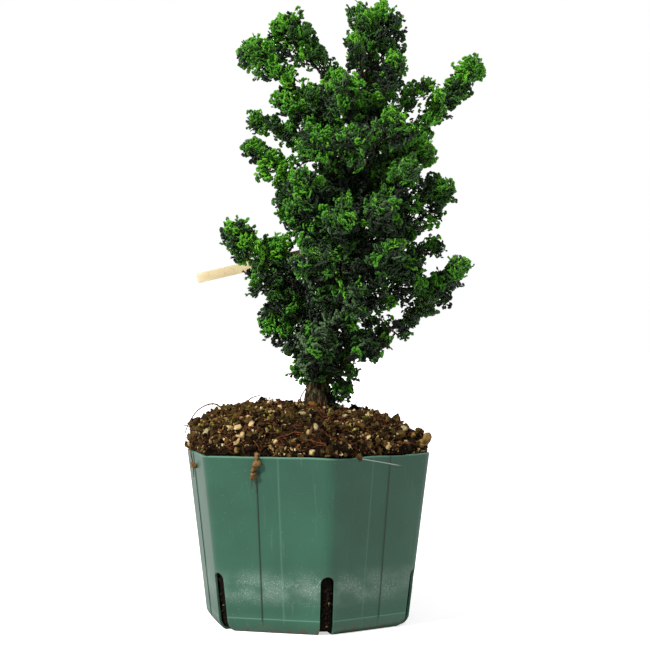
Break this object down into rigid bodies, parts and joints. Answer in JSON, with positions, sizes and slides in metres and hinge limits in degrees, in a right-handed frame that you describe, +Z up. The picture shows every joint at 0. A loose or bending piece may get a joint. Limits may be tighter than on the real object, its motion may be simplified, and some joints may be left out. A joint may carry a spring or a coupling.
{
  "type": "dwarf hinoki cypress in a nursery pot",
  "caption": "Dwarf hinoki cypress grown as bonsai stock: a short leaning trunk, upturned limbs with dense clumps of scale foliage, in a green hexagonal slit-sided nursery pot heaped with soil.",
  "frame": {"origin": "middle of the pot's flat underside", "axes": "+Z up from the floor through the pot and the crown; -Y towards the plant's front, +X to the right of the front"},
  "size_m": [0.2151, 0.18, 0.4441],
  "materials": {
    "foliage": "evergreen scale foliage, satin",
    "bark": "thin flaking conifer bark, rough",
    "pot": "moulded plastic, semi-gloss and weathered",
    "soil": "granular bonsai soil with fine roots, rough",
    "label": "plain plastic label strip, smudged"
  },
  "bodies": {
    "root": {"bough_back_upper_left": "bark", "bough_left_arm_high": "bark", "bough_left_arm_low": "bark", "bough_left_low_arm": "bark", "bough_right_arm": "bark", "bough_right_arm_short": "bark", "bough_right_low_arm": "bark", "bough_right_low_tuft": "bark", "bough_right_shoulder": "bark", "bough_right_side": "bark", "bough_upper_left_inner": "bark", "bough_upper_left_outer": "bark", "bough_upper_right": "bark", "foliage_back_crown": "foliage", "foliage_back_foot": "foliage", "foliage_back_left": "foliage", "foliage_back_low": "foliage", "foliage_back_low_left": "foliage", "foliage_back_middle": "foliage", "foliage_back_right": "foliage", "foliage_back_upper_left": "foliage", "foliage_back_upper_right": "foliage", "foliage_foot_left": "foliage", "foliage_foot_right": "foliage", "foliage_front_crown": "foliage", "foliage_front_foot": "foliage", "foliage_front_foot_right": "foliage", "foliage_front_left": "foliage", "foliage_front_low": "foliage", "foliage_front_low_left": "foliage", "foliage_front_low_right": "foliage", "foliage_front_middle_left": "foliage", "foliage_front_middle_right": "foliage", "foliage_front_right": "foliage", "foliage_front_upper_left": "foliage", "foliage_front_upper_middle": "foliage", "foliage_front_upper_right": "foliage", "foliage_left_arm_high": "foliage", "foliage_left_arm_low": "foliage", "foliage_left_bump": "foliage", "foliage_left_low_arm": "foliage", "foliage_left_low_side": "foliage", "foliage_left_lowest": "foliage", "foliage_left_side": "foliage", "foliage_right_arm": "foliage", "foliage_right_arm_short": "foliage", "foliage_right_low_arm": "foliage", "foliage_right_low_inner": "foliage", "foliage_right_low_tuft": "foliage", "foliage_right_shoulder": "foliage", "foliage_right_side": "foliage", "foliage_top": "foliage", "foliage_upper_left_inner": "foliage", "foliage_upper_left_outer": "foliage", "foliage_upper_right": "foliage", "plant_label": "label", "pot": "pot", "soil": "soil", "trunk": "bark"}
  },
  "joints": []
}
